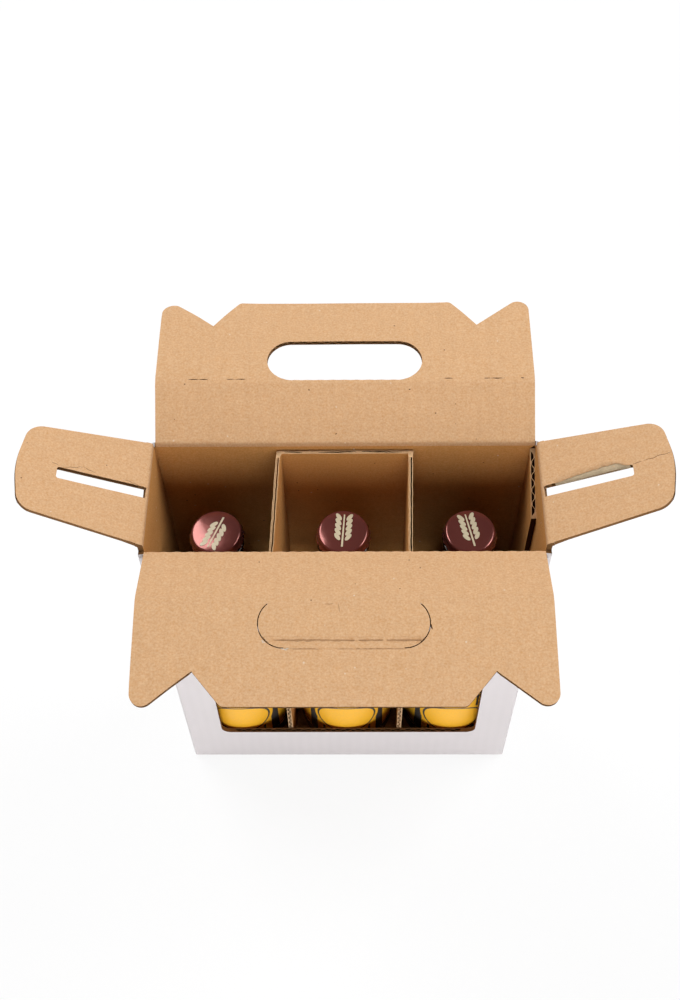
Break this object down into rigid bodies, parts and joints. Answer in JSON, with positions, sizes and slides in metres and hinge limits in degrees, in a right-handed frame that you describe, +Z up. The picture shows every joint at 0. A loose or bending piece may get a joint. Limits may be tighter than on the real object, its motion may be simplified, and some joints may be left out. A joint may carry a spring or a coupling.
{
  "type": "beer carrier box",
  "caption": "Opened single-row carrier box of corrugated board with bottles, folding handle panels, slotted end flaps, a display window and a divider insert.",
  "frame": {"origin": "on the base, under the middle of the box", "axes": "+Z up, +X to the right, the window in the front wall faces -Y"},
  "size_m": [0.3244, 0.2304, 0.2934],
  "materials": {
    "white_board": "plain white outer liner over fluted board",
    "kraft_board": "brown kraft inner liner",
    "brown_glass": "dark brown glass, full",
    "cap_metal": "glossy lacquered tinplate",
    "label_paper": "coated label paper in plain colour fields"
  },
  "bodies": {
    "box": {"carton": "white_board", "bottle_insert": "kraft_board", "bottle_left": "brown_glass", "bottle_middle": "brown_glass", "bottle_right": "brown_glass", "cap_left": "cap_metal", "cap_middle": "cap_metal", "cap_right": "cap_metal", "label_left": "label_paper", "label_middle": "label_paper", "label_right": "label_paper"},
    "front_roof": {"front_roof_panel": "kraft_board"},
    "front_handle": {"front_handle_panel": "kraft_board"},
    "front_grip": {"grip_flap": "kraft_board"},
    "back_roof": {"back_roof_panel": "kraft_board"},
    "back_handle": {"back_handle_panel": "kraft_board"},
    "left_end": {"left_end_flap": "kraft_board"},
    "right_end": {"right_end_flap": "kraft_board"}
  },
  "joints": [
    {"name": "front_roof_fold", "type": "hinge", "parent": "box", "child": "front_roof", "pos_m": [0, -0.0342, 0.262], "axis": [-1, 0, 0], "range_deg": [-18.2, 161.8]},
    {"name": "front_handle_fold", "type": "hinge", "parent": "front_roof", "child": "front_handle", "pos_m": [0, -0.06517, 0.27218], "axis": [1, 0, 0], "range_deg": [-7.2, 61.6]},
    {"name": "grip_flap_fold", "type": "hinge", "parent": "front_handle", "child": "front_grip", "pos_m": [0, -0.08523, 0.2685], "axis": [1, 0, 0], "range_deg": [0, 25]},
    {"name": "back_roof_fold", "type": "hinge", "parent": "box", "child": "back_roof", "pos_m": [0, 0.0342, 0.262], "axis": [1, 0, 0], "range_deg": [-33.4, 146.6]},
    {"name": "back_handle_fold", "type": "hinge", "parent": "back_roof", "child": "back_handle", "pos_m": [0, 0.06142, 0.27995], "axis": [-1, 0, 0], "range_deg": [-13.5, 58.6]},
    {"name": "left_end_fold", "type": "hinge", "parent": "box", "child": "left_end", "pos_m": [-0.1016, 0, 0.2648], "axis": [0, 1, 0], "range_deg": [-24.5, 105.5]},
    {"name": "right_end_fold", "type": "hinge", "parent": "box", "child": "right_end", "pos_m": [0.1016, 0, 0.2648], "axis": [0, -1, 0], "range_deg": [-24.5, 105.5]}
  ],
  "couplings": [
    {"joint": "front_handle_fold", "follows": "front_roof_fold", "ratio": 0.37948},
    {"joint": "back_handle_fold", "follows": "back_roof_fold", "ratio": 0.39836}
  ]
}
